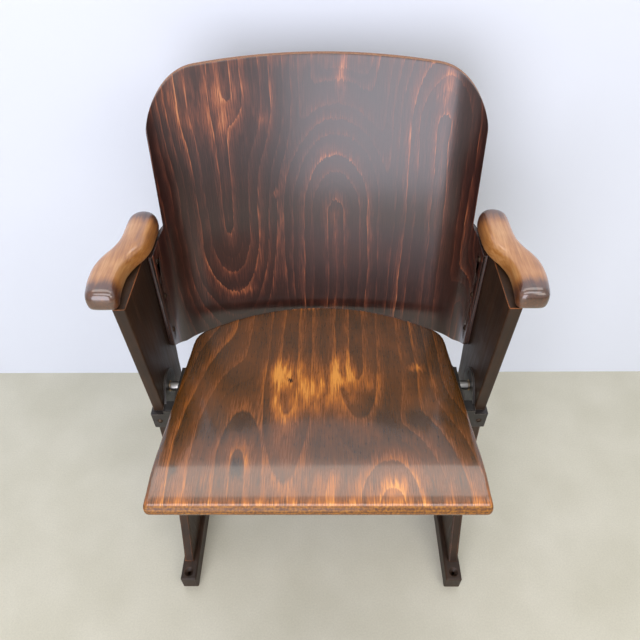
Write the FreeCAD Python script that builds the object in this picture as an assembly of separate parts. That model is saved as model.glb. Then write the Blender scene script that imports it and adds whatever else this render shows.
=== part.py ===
"""A single tip up auditorium seat of stained beech and moulded plywood.

Lengths are millimetres and +Z is up. The sitter faces -Y, and +X is on the right of someone who
looks at the seat from the front. The shapes are drawn with Y = 0 at the front of the foot runners,
and each finished solid is then moved so that the origin is under the middle of the whole seat.
"""
import FreeCAD, Part
import math
import os
from FreeCAD import Vector

# Side boards, which stand on the runners and carry everything else
BOARD_SPACING = 494.8
BOARD_T = 17.2
BOARD_ROUND = 2.4
BOARD_FOOT_CHAMFER = 0.8
LEG_FRONT_Y = 33.0
LEG_DEPTH = 113.0
LEG_BOW_FRONT = 18.0
LEG_BOW_REAR = 14.0
KNEE_Y = 127.0
KNEE_Z = 387.0
WAIST_Y = 240.0
WAIST_Z = 380.0
KNEE_ROUND = 200.0
BOARD_TOP_Z = 617.0
BOARD_TOP_FRONT_Y = 117.0
BOARD_TOP_REAR_Y = 283.0

# Foot runners
RUNNER_W = 29.0
RUNNER_H = 34.0
RUNNER_LENGTH = 360.0
RUNNER_PROUD = 3.0
RUNNER_ROUND = 3.0
RUNNER_CORNER_ROUND = 2.4
FLOOR_HOLE_D = 6.5
FLOOR_HOLE_SINK_D = 17.0
FLOOR_HOLE_END = 14.0
FLOOR_HOLE_INSET = 2.4

# Armrests
ARM_W = 42.0
ARM_T = 30.0
ARM_FRONT_Y = 112.0
ARM_REAR_Y = 306.0
ARM_BULGE = 22.0
ARM_BULGE_Y = 165.0
ARM_NOSE_INSET = 7.0
ARM_STRAIGHT_Y = 250.0
ARM_NOSE_ROUND = 9.0
ARM_TOP_ROUND = 12.0
ARM_BOTTOM_ROUND = 3.0

# Moulded back
BACK_T = 8.5
BACK_RADIUS = 530.0
BACK_BEND_RADIUS = 82.0
BACK_TILT = 11.0
BACK_FOOT_Y = 345.0
BACK_FOOT_Z = 430.0
BACK_TOP_Z = 812.5
BACK_TOP_ARCH = 3900.0
BACK_CORNER = 64.0
BACK_BOTTOM_Z = 390.5
BACK_LOBE_INSET = 11.7
BACK_OVERRUN = 40.0
EAR_GAP = 8.5
EAR_NOTCH_ROUND = 7.0
EAR_TOP_FRONT_Y = 230.0
EAR_LOW_FRONT_Y = 217.5
EAR_LOW_Z = 436.0
EAR_CORNER = 10.0
EAR_HEEL_Y = 262.0
EAR_HEEL_Z = 400.0
EAR_HEEL_END_Y = 292.0
EAR_HEEL_ROUND = 30.0

# Moulded seat
SEAT_T = 16.0
SEAT_FRONT_Y = -63.0
SEAT_REAR_Y = 328.0
SEAT_CREST_Z = 433.0
SEAT_SLOPE = 3.44
SEAT_ROLL_RADIUS = 290.0
SEAT_ROLL_ANGLE = 15.4
SEAT_NOSE_RADIUS = 14.0
SEAT_SIDE_GAP = 13.8
SEAT_TAPER = 21.5
SEAT_REAR_CORNER_Y = 250.0
SEAT_REAR_ARC = 335.0
SEAT_FRONT_CORNER = 8.0
SEAT_PLAN_LEAD = 0.3
SEAT_REAR_CORNER = 38.0
SEAT_TOP_ROUND = 4.0
SEAT_NOSE_FALL = 19.0

# Pivot of the seat
PIVOT_Y = 168.0
PIVOT_Z = 397.0
PIN_D = 16.0
SPIGOT_D = 12.0
PIN_CHAMFER = 1.5
PIN_END_GAP = 1.0
SPIGOT_END_GAP = 2.0
BUSH_D = 18.0
BUSH_DEPTH = 13.0
RUN_FIT = 0.05
HOLE_FIT = 0.02

# Seat arms under the seat
SEAT_ARM_GAP = 18.8
SEAT_ARM_T = 6.0
SEAT_ARM_FLANGE_W = 30.0
SEAT_ARM_FLANGE_T = 4.0
SEAT_ARM_FRONT_Y = 45.0
SEAT_ARM_REAR_Y = 197.0
SEAT_ARM_DEPTH = 8.0
SEAT_ARM_BOSS_R = 20.0
SEAT_ARM_RAMP = 52.0
TAIL_REACH = 58.0
TAIL_DROP = 31.0
TAIL_R = 11.0
FLANGE_ROUND = 9.0

# Hinge brackets on the side boards
BRACKET_T = 3.0
BRACKET_FRONT_T = 6.0
BRACKET_LOW_Z = 355.0
BRACKET_H = 34.0
BRACKET_STRAP_L = 44.0
BRACKET_EYE_R = 28.0
BRACKET_ROUND = 1.5
STRAP_ROUND = 10.2
LUG_DEPTH = 19.0
LUG_ABOVE = 7.7
LUG_INSET = 2.0
BUFFER_T = 3.3
BUFFER_EDGE = 1.0
BUFFER_ROUND = 0.8
REST_GAP = 0.3

# Screws and dowels
BACK_SCREW_Z = (460.0, 528.0, 592.0)
BACK_SCREW_EDGE = 13.0
BACK_SCREW_HEAD_D = 9.0
BACK_SCREW_HEAD_H = 2.6
BACK_SCREW_D = 4.5
BACK_SCREW_L = 20.0
BRACKET_SCREW_HEAD_D = 8.6
BRACKET_SCREW_D = 4.5
BRACKET_SCREW_L = 14.0
BRACKET_SCREW_R = 20.0
FRONT_SCREW_L = 38.0
SEAT_SCREW_HEAD_D = 8.6
SEAT_SCREW_D = 4.5
SEAT_SCREW_L = 14.0
SEAT_SCREW_Y = (62.0, 122.0, 182.0)
SEAT_SCREW_INSET = 18.6
FOOT_SCREW_HEAD_D = 11.0
FOOT_SCREW_D = 6.0
FOOT_SCREW_L = 75.0
FOOT_SCREW_SINK = 6.0
FOOT_SCREW_INSET = 28.0
DOWEL_D = 9.0
DOWEL_L = 36.0
DOWEL_Y = (208.0, 266.0)
DOWEL_CHAMFER = 1.0
SLOT_W = 1.2
SLOT_H = 1.3

# Values worked out from the sizes above
BOARD_MID = BOARD_SPACING / 2
BOARD_IN = BOARD_MID - BOARD_T / 2
BOARD_OUT = BOARD_MID + BOARD_T / 2
RUNNER_OUT = BOARD_OUT + RUNNER_PROUD
RUNNER_IN = RUNNER_OUT - RUNNER_W
LEG_REAR_Y = LEG_FRONT_Y + LEG_DEPTH
BACK_LEAN = math.tan(math.radians(BACK_TILT))
FLOOR_HOLE_X = BOARD_MID - FLOOR_HOLE_INSET
FLOOR_HOLE_SPACING = 2 * FLOOR_HOLE_X
BACK_LOBE_HALF = BOARD_IN - BACK_LOBE_INSET
EAR_TOP_Z = BOARD_TOP_Z - EAR_GAP
SEAT_FRONT_HALF = BOARD_IN - SEAT_SIDE_GAP
SEAT_REAR_HALF = SEAT_FRONT_HALF - SEAT_TAPER
SEAT_ARM_X = BOARD_IN - SEAT_ARM_GAP - SEAT_ARM_T
SLOPE = math.radians(SEAT_SLOPE)
BACK_SLANT_T = BACK_T / math.cos(math.radians(BACK_TILT))
BACK_REAR_Y = BACK_FOOT_Y + BACK_LEAN * (BACK_TOP_Z - BACK_FOOT_Z) + BACK_SLANT_T / 2
ORIGIN_Y = (SEAT_FRONT_Y + BACK_REAR_Y) / 2
FAR = 600.0
OVER = 1.0

STANDARD = Vector(0, 0, 0)


def line(a, b):
    return Part.LineSegment(Vector(*a), Vector(*b)).toShape()


def arc(a, middle, b):
    return Part.Arc(Vector(*a), Vector(*middle), Vector(*b)).toShape()


def face(edges):
    return Part.Face(Part.Wire(edges))


def polygon(points):
    corners = [Vector(*p) for p in points]
    return Part.Face(Part.makePolygon(corners + corners[:1]))


def bowed(a, b, bow):
    """Middle point of an arc from a to b in the YZ plane that bows towards +Y."""
    chord = math.hypot(b[1] - a[1], b[2] - a[2])
    across_y = abs(b[2] - a[2]) / chord
    across_z = -(b[1] - a[1]) * (1 if b[2] > a[2] else -1) / chord
    return (a[0], (a[1] + b[1]) / 2 + bow * across_y, (a[2] + b[2]) / 2 + bow * across_z)


def rod_x(x0, x1, y, z, radius):
    return Part.makeCylinder(radius, x1 - x0, Vector(x0, y, z), Vector(1, 0, 0))


def rod_z(z0, z1, x, y, radius):
    return Part.makeCylinder(radius, z1 - z0, Vector(x, y, z0), Vector(0, 0, 1))


def box(x0, x1, y0, y1, z0, z1):
    return Part.makeBox(x1 - x0, y1 - y0, z1 - z0, Vector(x0, y0, z0))


def cut_all(shape, tools):
    for tool in tools:
        shape = shape.cut(tool)
    return shape


def fuse_all(shapes):
    return shapes[0].fuse(shapes[1:]).removeSplitter()


def edges_where(shape, test):
    return [edge for edge in shape.Edges if test(edge)]


def along(edge, axis):
    """True for a straight edge that runs along the given axis."""
    if edge.Curve.TypeId != "Part::GeomLine":
        return False
    return abs(edge.tangentAt(edge.FirstParameter).dot(axis)) > 0.9999


def lever(x0, x1, big, big_r, small, small_r):
    """Flat lever with two round ends joined by their outer tangents, drawn in the YZ plane."""
    dy = small[0] - big[0]
    dz = small[1] - big[1]
    heading = math.atan2(dz, dy)
    spread = math.acos((big_r - small_r) / math.hypot(dy, dz))

    def on(centre, radius, angle):
        return (x0, centre[0] + radius * math.cos(angle), centre[1] + radius * math.sin(angle))

    upper = heading + spread
    lower = heading - spread
    edges = [
        line(on(big, big_r, upper), on(small, small_r, upper)),
        arc(on(small, small_r, upper), on(small, small_r, heading), on(small, small_r, lower)),
        line(on(small, small_r, lower), on(big, big_r, lower)),
        arc(on(big, big_r, lower), on(big, big_r, heading + math.pi), on(big, big_r, upper)),
    ]
    return face(edges).extrude(Vector(x1 - x0, 0, 0))


def countersunk_screw(head_d, shank_d, length):
    """Slotted countersunk wood screw, its flat head in the XY plane and its shank along -Z."""
    head_h = (head_d - shank_d) / 2
    tip = shank_d
    profile = polygon([
        (0, 0, 0),
        (head_d / 2, 0, 0),
        (shank_d / 2, 0, -head_h),
        (shank_d / 2, 0, -length + tip),
        (0, 0, -length),
    ])
    screw = profile.revolve(STANDARD, Vector(0, 0, 1), 360)
    slot = box(-head_d, head_d, -SLOT_W / 2, SLOT_W / 2, -SLOT_H, SLOT_H)
    return screw.cut(slot)


def countersunk_hole(head_d, shank_d, length):
    """The space that a countersunk screw takes, with its clearance."""
    head_h = (head_d - shank_d) / 2
    profile = polygon([
        (0, 0, SLOT_H),
        (head_d / 2 + HOLE_FIT, 0, SLOT_H),
        (head_d / 2 + HOLE_FIT, 0, 0),
        (shank_d / 2 + HOLE_FIT, 0, -head_h),
        (shank_d / 2 + HOLE_FIT, 0, -length - HOLE_FIT),
        (0, 0, -length - HOLE_FIT),
    ])
    return profile.revolve(STANDARD, Vector(0, 0, 1), 360)


def round_screw(head_d, head_h, shank_d, length):
    """Slotted round head wood screw, its head standing on the XY plane and its shank along -Z."""
    radius = (head_d ** 2 / 4 + head_h ** 2) / (2 * head_h)
    half = math.asin(head_d / 2 / radius) / 2
    middle = (radius * math.sin(half), 0, head_h - radius + radius * math.cos(half))
    dome = arc((head_d / 2, 0, 0), middle, (0, 0, head_h))
    edges = [
        dome,
        line((0, 0, head_h), (0, 0, -length)),
        line((0, 0, -length), (shank_d / 2, 0, -length + shank_d)),
        line((shank_d / 2, 0, -length + shank_d), (shank_d / 2, 0, 0)),
        line((shank_d / 2, 0, 0), (head_d / 2, 0, 0)),
    ]
    screw = face(edges).revolve(STANDARD, Vector(0, 0, 1), 360)
    slot = box(-head_d, head_d, -SLOT_W / 2, SLOT_W / 2, head_h - SLOT_H, 2 * head_h)
    return screw.cut(slot)


def aimed(shape, place, shank_towards):
    """Turns a shape drawn with its shank along -Z so that the shank points the given way."""
    turned = shape.copy()
    turned.Placement = FreeCAD.Placement(Vector(*place), FreeCAD.Rotation(Vector(0, 0, -1), shank_towards))
    return turned


def ear_front_y(z):
    """Front edge of the backrest ears at a height."""
    share = (z - EAR_LOW_Z) / (EAR_TOP_Z - EAR_LOW_Z)
    return EAR_LOW_FRONT_Y + share * (EAR_TOP_FRONT_Y - EAR_LOW_FRONT_Y)


def back_screw_places():
    return [(ear_front_y(z) + BACK_SCREW_EDGE, z) for z in BACK_SCREW_Z]


def plate_screw_places():
    """Two screws of the bracket eye, behind the pivot, above and below it."""
    offset = BRACKET_SCREW_R * math.sin(math.radians(45))
    return [(PIVOT_Y + offset, PIVOT_Z + offset), (PIVOT_Y + offset, PIVOT_Z - offset)]


def foot_screw_places():
    return [LEG_FRONT_Y + FOOT_SCREW_INSET, LEG_REAR_Y - FOOT_SCREW_INSET]


def floor_hole_places():
    return [FLOOR_HOLE_END, RUNNER_LENGTH - FLOOR_HOLE_END]


def knee_front_y(z):
    """Front edge of the side board a little below the knee, where it is nearly straight."""
    a = (0, LEG_FRONT_Y, RUNNER_H)
    b = (0, KNEE_Y, KNEE_Z)
    middle = bowed(a, b, LEG_BOW_FRONT)
    curve = Part.Arc(Vector(*a), Vector(*middle), Vector(*b)).toShape()
    level = box(-OVER, OVER, -FAR, FAR, z, z + FAR)
    return curve.common(level).BoundBox.YMin


def across_board(board, y, z):
    """The edge that runs through the board's thickness at a corner of its outline."""

    def here(edge):
        middle = edge.CenterOfMass
        return along(edge, Vector(1, 0, 0)) and abs(middle.y - y) < 0.01 and abs(middle.z - z) < 0.01

    return edges_where(board, here)


def board_blank():
    """The bare outline of a right side board, from the runner up to the armrest."""
    foot_front = (BOARD_IN, LEG_FRONT_Y, RUNNER_H)
    knee = (BOARD_IN, KNEE_Y, KNEE_Z)
    top_front = (BOARD_IN, BOARD_TOP_FRONT_Y, BOARD_TOP_Z)
    top_rear = (BOARD_IN, BOARD_TOP_REAR_Y, BOARD_TOP_Z)
    waist = (BOARD_IN, WAIST_Y, WAIST_Z)
    foot_rear = (BOARD_IN, LEG_REAR_Y, RUNNER_H)
    edges = [
        arc(foot_front, bowed(foot_front, knee, LEG_BOW_FRONT), knee),
        line(knee, top_front),
        line(top_front, top_rear),
        line(top_rear, waist),
        arc(waist, bowed(waist, foot_rear, LEG_BOW_REAR), foot_rear),
        line(foot_rear, foot_front),
    ]
    board = face(edges).extrude(Vector(BOARD_T, 0, 0))
    bends = across_board(board, KNEE_Y, KNEE_Z) + across_board(board, WAIST_Y, WAIST_Z)
    return board.makeFillet(KNEE_ROUND, bends)


def side_board():
    """Right side board with rounded long edges and the holes of all that is fixed to it."""
    board = board_blank()

    def long_edge(edge):
        span = edge.BoundBox
        return span.XLength < 0.01 and span.ZLength > 1

    board = board.makeFillet(BOARD_ROUND, edges_where(board, long_edge))
    foot = edges_where(board, lambda e: e.BoundBox.ZMax < RUNNER_H + 0.01)
    board = board.makeChamfer(BOARD_FOOT_CHAMFER, foot)
    holes = [rod_x(BOARD_IN - OVER, BOARD_IN + BUSH_DEPTH, PIVOT_Y, PIVOT_Z, BUSH_D / 2 + HOLE_FIT)]
    depth = BACK_SCREW_L - BACK_T + HOLE_FIT
    for y, z in back_screw_places():
        holes.append(rod_x(BOARD_IN - OVER, BOARD_IN + depth, y, z, BACK_SCREW_D / 2 + HOLE_FIT))
    depth = BRACKET_SCREW_L - BRACKET_T + HOLE_FIT
    for y, z in plate_screw_places():
        holes.append(rod_x(BOARD_IN - OVER, BOARD_IN + depth, y, z, BRACKET_SCREW_D / 2 + HOLE_FIT))
    holes.append(front_screw_hole())
    for y in DOWEL_Y:
        low = BOARD_TOP_Z - DOWEL_L / 2
        holes.append(rod_z(low, BOARD_TOP_Z + OVER, BOARD_MID, y, DOWEL_D / 2 + HOLE_FIT))
    top = FOOT_SCREW_SINK + FOOT_SCREW_L + HOLE_FIT
    for y in foot_screw_places():
        holes.append(rod_z(RUNNER_H - OVER, top, BOARD_MID, y, FOOT_SCREW_D / 2 + HOLE_FIT))
    return cut_all(board, holes)


def foot_runner():
    """Right runner: a bar with softened edges, two floor screw holes and two screws from below."""
    bar = box(RUNNER_IN, RUNNER_OUT, 0, RUNNER_LENGTH, 0, RUNNER_H)
    bar = bar.makeFillet(RUNNER_ROUND, edges_where(bar, lambda e: e.BoundBox.ZMin > RUNNER_H - 1))
    upright = edges_where(bar, lambda e: along(e, Vector(0, 0, 1)))
    bar = bar.makeFillet(RUNNER_CORNER_ROUND, upright)
    sink_h = (FLOOR_HOLE_SINK_D - FLOOR_HOLE_D) / 2
    holes = []
    for y in floor_hole_places():
        x = FLOOR_HOLE_X
        holes.append(rod_z(-OVER, RUNNER_H + OVER, x, y, FLOOR_HOLE_D / 2))
        holes.append(Part.makeCone(
            FLOOR_HOLE_D / 2, FLOOR_HOLE_SINK_D / 2, sink_h, Vector(x, y, RUNNER_H - sink_h)))
    for y in foot_screw_places():
        hole = countersunk_hole(FOOT_SCREW_HEAD_D, FOOT_SCREW_D, FOOT_SCREW_L)
        holes.append(aimed(hole, (BOARD_MID, y, FOOT_SCREW_SINK), Vector(0, 0, 1)))
        holes.append(rod_z(-OVER, FOOT_SCREW_SINK, BOARD_MID, y, FOOT_SCREW_HEAD_D / 2 + HOLE_FIT))
    return cut_all(bar, holes)


def foot_screws():
    screw = countersunk_screw(FOOT_SCREW_HEAD_D, FOOT_SCREW_D, FOOT_SCREW_L)
    places = foot_screw_places()
    up = Vector(0, 0, 1)
    return Part.makeCompound([aimed(screw, (BOARD_MID, y, FOOT_SCREW_SINK), up) for y in places])


def arm_side(offset):
    """One long side of the armrest, from the nose to the straight rear part, seen from above.

    It bulges outwards in front and returns over the board in two equal arcs.
    """
    rear_x = BOARD_MID + offset
    front_x = rear_x + ARM_BULGE
    run = ARM_STRAIGHT_Y - ARM_BULGE_Y
    radius = (run ** 2 + ARM_BULGE ** 2) / (4 * ARM_BULGE)
    half = math.atan2(ARM_BULGE, run)
    nose_run = ARM_BULGE_Y - ARM_FRONT_Y
    z = BOARD_TOP_Z
    nose = (front_x - ARM_NOSE_INSET, ARM_FRONT_Y, z)
    crest = (front_x, ARM_BULGE_Y, z)
    change = ((front_x + rear_x) / 2, (ARM_BULGE_Y + ARM_STRAIGHT_Y) / 2, z)
    straight = (rear_x, ARM_STRAIGHT_Y, z)
    sag = radius * (1 - math.cos(half))
    step = radius * math.sin(half)
    nose_middle = (front_x - ARM_NOSE_INSET / 4, ARM_BULGE_Y - nose_run / 2, z)
    return nose, straight, [
        arc(nose, nose_middle, crest),
        arc(crest, (front_x - sag, ARM_BULGE_Y + step, z), change),
        arc(change, (rear_x + sag, ARM_STRAIGHT_Y - step, z), straight),
    ]


def armrest():
    """Right armrest: a solid S shaped arm with a blunt nose and a half round rear end."""
    half_w = ARM_W / 2
    outer_nose, outer_rear, outer = arm_side(half_w)
    inner_nose, inner_rear, inner = arm_side(-half_w)
    tip_y = ARM_REAR_Y - half_w
    z = BOARD_TOP_Z
    outer_tip = (outer_rear[0], tip_y, z)
    inner_tip = (inner_rear[0], tip_y, z)
    edges = outer + [
        line(outer_rear, outer_tip),
        arc(outer_tip, (BOARD_MID, ARM_REAR_Y, z), inner_tip),
        line(inner_tip, inner_rear),
    ] + inner[::-1] + [line(inner_nose, outer_nose)]
    outline = Part.Face(Part.Wire(Part.__sortEdges__(edges)))
    arm = outline.extrude(Vector(0, 0, ARM_T))
    corners = edges_where(arm, lambda e: along(e, Vector(0, 0, 1)) and e.BoundBox.YMax < ARM_FRONT_Y + 1)
    arm = arm.makeFillet(ARM_NOSE_ROUND, corners)
    arm = arm.makeFillet(ARM_TOP_ROUND, edges_where(arm, lambda e: e.BoundBox.ZMin > z + ARM_T - 0.1))
    arm = arm.makeFillet(ARM_BOTTOM_ROUND, edges_where(arm, lambda e: e.BoundBox.ZMax < z + 0.1))
    holes = [rod_z(z - OVER, z + DOWEL_L / 2, BOARD_MID, y, DOWEL_D / 2 + HOLE_FIT) for y in DOWEL_Y]
    return cut_all(arm, holes)


def armrest_dowels():
    dowels = []
    for y in DOWEL_Y:
        low = BOARD_TOP_Z - DOWEL_L / 2 + HOLE_FIT
        dowel = rod_z(low, BOARD_TOP_Z + DOWEL_L / 2 - HOLE_FIT, BOARD_MID, y, DOWEL_D / 2)
        dowels.append(dowel.makeChamfer(DOWEL_CHAMFER, dowel.Edges[:1] + dowel.Edges[2:3]))
    return Part.makeCompound(dowels)


def back_section(z):
    """Section square across the moulded back: one wide arc, two bends and two straight flanks.

    The middle of the wide arc is on the Z axis.
    """
    flank = BOARD_IN - BACK_T / 2
    bend_x = flank - BACK_BEND_RADIUS
    turn = math.asin(bend_x / (BACK_RADIUS - BACK_BEND_RADIUS))
    bend_y = (BACK_RADIUS - BACK_BEND_RADIUS) * math.cos(turn) - BACK_RADIUS

    def skin(side):
        wide = BACK_RADIUS + side * BACK_T / 2
        tight = BACK_BEND_RADIUS + side * BACK_T / 2

        def bend(sign, angle):
            return (sign * (bend_x + tight * math.sin(angle)), bend_y + tight * math.cos(angle), z)

        def side_edges(sign):
            end = (sign * (bend_x + tight), -FAR / 2, z)
            start = bend(sign, math.pi / 2)
            finish = bend(sign, turn)
            return end, finish, [
                line(end, start),
                arc(start, bend(sign, (turn + math.pi / 2) / 2), finish),
            ]

        left_end, left_turn, left = side_edges(-1)
        right_end, right_turn, right = side_edges(1)
        middle = arc(left_turn, (0, wide - BACK_RADIUS, z), right_turn)
        return left_end, right_end, left + [middle] + right

    rear_left, rear_right, rear = skin(1)
    front_left, front_right, front = skin(-1)
    ends = [line(rear_left, front_left), line(rear_right, front_right)]
    return Part.Face(Part.Wire(Part.__sortEdges__(rear + front + ends)))


def back_front_outline():
    """What the back keeps, seen from the front: an arched top, round corners and a notch per arm."""
    half = BACK_LOBE_HALF
    drop = BACK_TOP_ARCH - math.sqrt(BACK_TOP_ARCH ** 2 - half ** 2)
    shoulder = BACK_TOP_Z - drop
    y = -FAR
    edges = [
        line((-FAR, y, 0), (FAR, y, 0)),
        line((FAR, y, 0), (FAR, y, EAR_TOP_Z)),
        line((FAR, y, EAR_TOP_Z), (half, y, EAR_TOP_Z)),
        line((half, y, EAR_TOP_Z), (half, y, shoulder)),
        arc((half, y, shoulder), (0, y, BACK_TOP_Z), (-half, y, shoulder)),
        line((-half, y, shoulder), (-half, y, EAR_TOP_Z)),
        line((-half, y, EAR_TOP_Z), (-FAR, y, EAR_TOP_Z)),
        line((-FAR, y, EAR_TOP_Z), (-FAR, y, 0)),
    ]
    prism = face(edges).extrude(Vector(0, 3 * FAR, 0))

    def runs_along_y(edge, z, x):
        middle = edge.CenterOfMass
        return along(edge, Vector(0, 1, 0)) and abs(middle.z - z) < 0.01 and abs(abs(middle.x) - x) < 0.01

    prism = prism.makeFillet(BACK_CORNER, edges_where(prism, lambda e: runs_along_y(e, shoulder, half)))
    notch = edges_where(prism, lambda e: runs_along_y(e, EAR_TOP_Z, half))
    return prism.makeFillet(EAR_NOTCH_ROUND, notch)


def back_side_outline():
    """What the back keeps, seen from the side: the front and lower edges of the ears."""
    x = -FAR
    over_y = ear_front_y(BACK_TOP_Z + FAR)
    points = [
        (x, EAR_LOW_FRONT_Y, EAR_LOW_Z),
        (x, EAR_HEEL_Y, EAR_HEEL_Z),
        (x, EAR_HEEL_END_Y, BACK_BOTTOM_Z),
        (x, 2 * FAR, BACK_BOTTOM_Z),
        (x, 2 * FAR, BACK_TOP_Z + FAR),
        (x, over_y, BACK_TOP_Z + FAR),
    ]
    prism = polygon(points).extrude(Vector(2 * FAR, 0, 0))

    def at(edge, y, z):
        middle = edge.CenterOfMass
        return along(edge, Vector(1, 0, 0)) and abs(middle.y - y) < 0.01 and abs(middle.z - z) < 0.01

    corner = edges_where(prism, lambda e: at(e, EAR_LOW_FRONT_Y, EAR_LOW_Z))
    prism = prism.makeFillet(EAR_CORNER, corner)
    heel = edges_where(prism, lambda e: at(e, EAR_HEEL_Y, EAR_HEEL_Z))
    return prism.makeFillet(EAR_HEEL_ROUND, heel)


def backrest_shell():
    """Back moulded from thin plywood, which wraps round into two ears on the side boards."""
    low = BACK_BOTTOM_Z - BACK_FOOT_Z - BACK_OVERRUN
    high = BACK_TOP_Z - BACK_FOOT_Z + BACK_OVERRUN
    shell = back_section(low).extrude(Vector(0, 0, high - low))
    shell.Placement = FreeCAD.Placement(
        Vector(0, BACK_FOOT_Y, BACK_FOOT_Z), FreeCAD.Rotation(Vector(1, 0, 0), -BACK_TILT))
    shell = shell.common(back_front_outline())
    shell = shell.common(back_side_outline())
    holes = []
    for y, z in back_screw_places():
        for sign in (-1, 1):
            side = sorted((sign * (BOARD_IN - BACK_T - OVER), sign * (BOARD_IN + OVER)))
            holes.append(rod_x(side[0], side[1], y, z, BACK_SCREW_D / 2 + HOLE_FIT))
    return cut_all(shell, holes)


def back_screws():
    screw = round_screw(BACK_SCREW_HEAD_D, BACK_SCREW_HEAD_H, BACK_SCREW_D, BACK_SCREW_L)
    x = BOARD_IN - BACK_T
    return Part.makeCompound([aimed(screw, (x, y, z), Vector(1, 0, 0)) for y, z in back_screw_places()])


def seat_curve():
    """Where the flat pan turns into the rolled front, the roll's centre and the lean of its end."""
    front_lean = SLOPE - math.radians(SEAT_ROLL_ANGLE)
    nose = SEAT_NOSE_RADIUS
    crest_y = SEAT_FRONT_Y + nose * (1 + math.sin(front_lean))
    crest_y += SEAT_ROLL_RADIUS * (math.sin(SLOPE) - math.sin(front_lean))
    centre_y = crest_y - SEAT_ROLL_RADIUS * math.sin(SLOPE)
    centre_z = SEAT_CREST_Z - SEAT_ROLL_RADIUS * math.cos(SLOPE)
    return crest_y, (centre_y, centre_z), front_lean


def seat_underside(y):
    """Height of the flat part of the seat's underside."""
    crest_y = seat_curve()[0]
    start_y = crest_y - SEAT_T * math.sin(SLOPE)
    start_z = SEAT_CREST_Z - SEAT_T * math.cos(SLOPE)
    return start_z - (y - start_y) * math.tan(SLOPE)


def seat_profile(x):
    """Side profile: a flat pan that slopes back, a rolled front and a rounded nose."""
    crest_y, centre, front_lean = seat_curve()

    def on(middle, radius, angle):
        return (x, middle[0] + radius * math.sin(angle), middle[1] + radius * math.cos(angle))

    roll_end = on(centre, SEAT_ROLL_RADIUS, front_lean)
    nose_centre = on(centre, SEAT_ROLL_RADIUS - SEAT_NOSE_RADIUS, front_lean)[1:]
    nose_end = on(nose_centre, SEAT_NOSE_RADIUS, -math.pi / 2)
    inner = SEAT_ROLL_RADIUS - SEAT_T
    foot_angle = math.asin((SEAT_FRONT_Y - centre[0]) / inner)
    rear_y = SEAT_REAR_Y + SEAT_T
    top_rear = (x, rear_y, SEAT_CREST_Z - (rear_y - crest_y) * math.tan(SLOPE))
    crest = on(centre, SEAT_ROLL_RADIUS, SLOPE)
    under = on(centre, inner, SLOPE)
    foot = on(centre, inner, foot_angle)
    edges = [
        line(top_rear, crest),
        arc(crest, on(centre, SEAT_ROLL_RADIUS, (SLOPE + front_lean) / 2), roll_end),
        arc(roll_end, on(nose_centre, SEAT_NOSE_RADIUS, (front_lean - math.pi / 2) / 2), nose_end),
        line(nose_end, foot),
        arc(foot, on(centre, inner, (SLOPE + foot_angle) / 2), under),
        line(under, (x, rear_y, seat_underside(rear_y))),
        line((x, rear_y, seat_underside(rear_y)), top_rear),
    ]
    return face(edges)


def seat_plan():
    """Plan outline of the seat: wider in front, with an arched rear edge."""
    z = 0
    front_y = SEAT_FRONT_Y - SEAT_PLAN_LEAD
    sagitta = SEAT_REAR_ARC - math.sqrt(SEAT_REAR_ARC ** 2 - SEAT_REAR_HALF ** 2)
    corner_y = SEAT_REAR_Y - sagitta
    narrowing = (SEAT_FRONT_HALF - SEAT_REAR_HALF) / (SEAT_REAR_CORNER_Y - SEAT_FRONT_Y)
    corner_x = SEAT_FRONT_HALF - narrowing * (corner_y - SEAT_FRONT_Y)
    edges = [
        line((-SEAT_FRONT_HALF, front_y, z), (SEAT_FRONT_HALF, front_y, z)),
        line((SEAT_FRONT_HALF, front_y, z), (corner_x, corner_y, z)),
        arc((corner_x, corner_y, z), (0, SEAT_REAR_Y, z), (-corner_x, corner_y, z)),
        line((-corner_x, corner_y, z), (-SEAT_FRONT_HALF, front_y, z)),
    ]
    prism = face(edges).extrude(Vector(0, 0, 2 * FAR))
    upright = edges_where(prism, lambda e: along(e, Vector(0, 0, 1)))
    rear = [e for e in upright if e.CenterOfMass.y > 0]
    prism = prism.makeFillet(SEAT_REAR_CORNER, rear)
    front = edges_where(prism, lambda e: along(e, Vector(0, 0, 1)) and e.CenterOfMass.y < front_y + 1)
    return prism.makeFillet(SEAT_FRONT_CORNER, front)


def seat_shell():
    """Seat moulded from plywood, its top edges rounded over at the sides and the rear."""
    slab = seat_profile(-FAR / 2).extrude(Vector(FAR, 0, 0))
    seat = slab.common(seat_plan())

    def top_rim(edge):
        span = edge.BoundBox
        on_top = span.ZMin > SEAT_CREST_Z - SEAT_NOSE_FALL
        return on_top and span.YLength > 0.5 and span.YMin > SEAT_FRONT_Y + SEAT_FRONT_CORNER

    seat = seat.makeFillet(SEAT_TOP_ROUND, edges_where(seat, top_rim))
    depth = SEAT_SCREW_L - SEAT_ARM_FLANGE_T + HOLE_FIT
    holes = []
    for y in SEAT_SCREW_Y:
        for sign in (-1, 1):
            hole = rod_z(-OVER, depth, 0, 0, SEAT_SCREW_D / 2 + HOLE_FIT)
            holes.append(aimed_up(hole, sign * seat_screw_x(), y, seat_underside(y)))
    return cut_all(seat, holes)


def seat_screw_x():
    return SEAT_ARM_X + SEAT_ARM_T - SEAT_SCREW_INSET


def aimed_up(shape, x, y, z):
    """Stands a shape drawn along +Z square to the seat's sloping underside."""
    placed = shape.copy()
    placed.Placement = FreeCAD.Placement(
        Vector(x, y, z), FreeCAD.Rotation(Vector(1, 0, 0), -SEAT_SLOPE))
    return placed


def web_low_z():
    return BRACKET_LOW_Z + BRACKET_H + LUG_ABOVE + BUFFER_T + REST_GAP


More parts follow.
